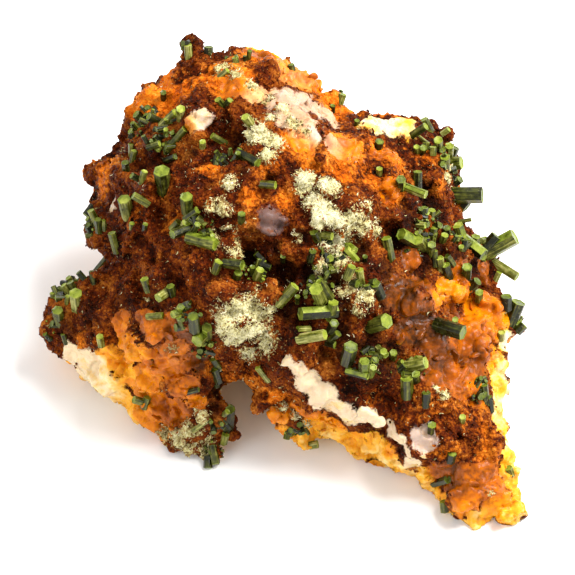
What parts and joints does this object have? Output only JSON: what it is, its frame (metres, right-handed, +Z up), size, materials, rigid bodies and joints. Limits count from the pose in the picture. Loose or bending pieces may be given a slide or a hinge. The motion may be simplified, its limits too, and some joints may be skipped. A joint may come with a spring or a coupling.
{
  "type": "pyromorphite mineral specimen",
  "caption": "Rusty quartz-veined rock with short green six-sided crystals scattered over its face, cut flat below to rest on a shelf.",
  "frame": {"origin": "middle of the underside of the specimen's bounding box, on the plane of its flat cut", "axes": "+X along the width to the right of the crystal face, +Y to the back, +Z up from the flat cut; the crystal face looks to -Y and up"},
  "size_m": [0.049, 0.045, 0.0282],
  "materials": {
    "gossan_matrix": "rough, earthy, with glassy quartz",
    "pyromorphite": "resinous"
  },
  "bodies": {
    "root": {"matrix": "gossan_matrix", "centre_cluster_1": "pyromorphite", "centre_cluster_3": "pyromorphite", "centre_cluster_5": "pyromorphite", "centre_prism_10": "pyromorphite", "centre_prism_11": "pyromorphite", "centre_prism_2": "pyromorphite", "centre_prism_4": "pyromorphite", "centre_prism_6": "pyromorphite", "centre_prism_7": "pyromorphite", "centre_prism_8": "pyromorphite", "centre_prism_9": "pyromorphite", "crest_cluster_1": "pyromorphite", "crest_cluster_2": "pyromorphite", "crest_cluster_4": "pyromorphite", "crest_cluster_6": "pyromorphite", "crest_prism_3": "pyromorphite", "crest_prism_5": "pyromorphite", "crest_prism_7": "pyromorphite", "left_edge_prism_1": "pyromorphite", "left_edge_prism_2": "pyromorphite", "left_foot_prism_1": "pyromorphite", "left_lobe_cluster_1": "pyromorphite", "left_lobe_cluster_5": "pyromorphite", "left_lobe_cluster_6": "pyromorphite", "left_lobe_prism_2": "pyromorphite", "left_lobe_prism_3": "pyromorphite", "left_lobe_prism_4": "pyromorphite", "left_lobe_prism_7": "pyromorphite", "right_edge_cluster_1": "pyromorphite", "right_edge_cluster_2": "pyromorphite", "right_edge_cluster_3": "pyromorphite", "right_edge_prism_10": "pyromorphite", "right_edge_prism_11": "pyromorphite", "right_edge_prism_12": "pyromorphite", "right_edge_prism_13": "pyromorphite", "right_edge_prism_14": "pyromorphite", "right_edge_prism_4": "pyromorphite", "right_edge_prism_5": "pyromorphite", "right_edge_prism_6": "pyromorphite", "right_edge_prism_7": "pyromorphite", "right_edge_prism_8": "pyromorphite", "right_edge_prism_9": "pyromorphite", "right_lobe_cluster_4": "pyromorphite", "right_lobe_prism_1": "pyromorphite", "right_lobe_prism_2": "pyromorphite", "right_lobe_prism_3": "pyromorphite", "right_lobe_prism_5": "pyromorphite", "top_prism_1": "pyromorphite", "upper_left_cluster_2": "pyromorphite", "upper_left_prism_1": "pyromorphite", "upper_left_prism_10": "pyromorphite", "upper_left_prism_3": "pyromorphite", "upper_left_prism_4": "pyromorphite", "upper_left_prism_5": "pyromorphite", "upper_left_prism_6": "pyromorphite", "upper_left_prism_7": "pyromorphite", "upper_left_prism_8": "pyromorphite", "upper_left_prism_9": "pyromorphite"}
  },
  "joints": []
}
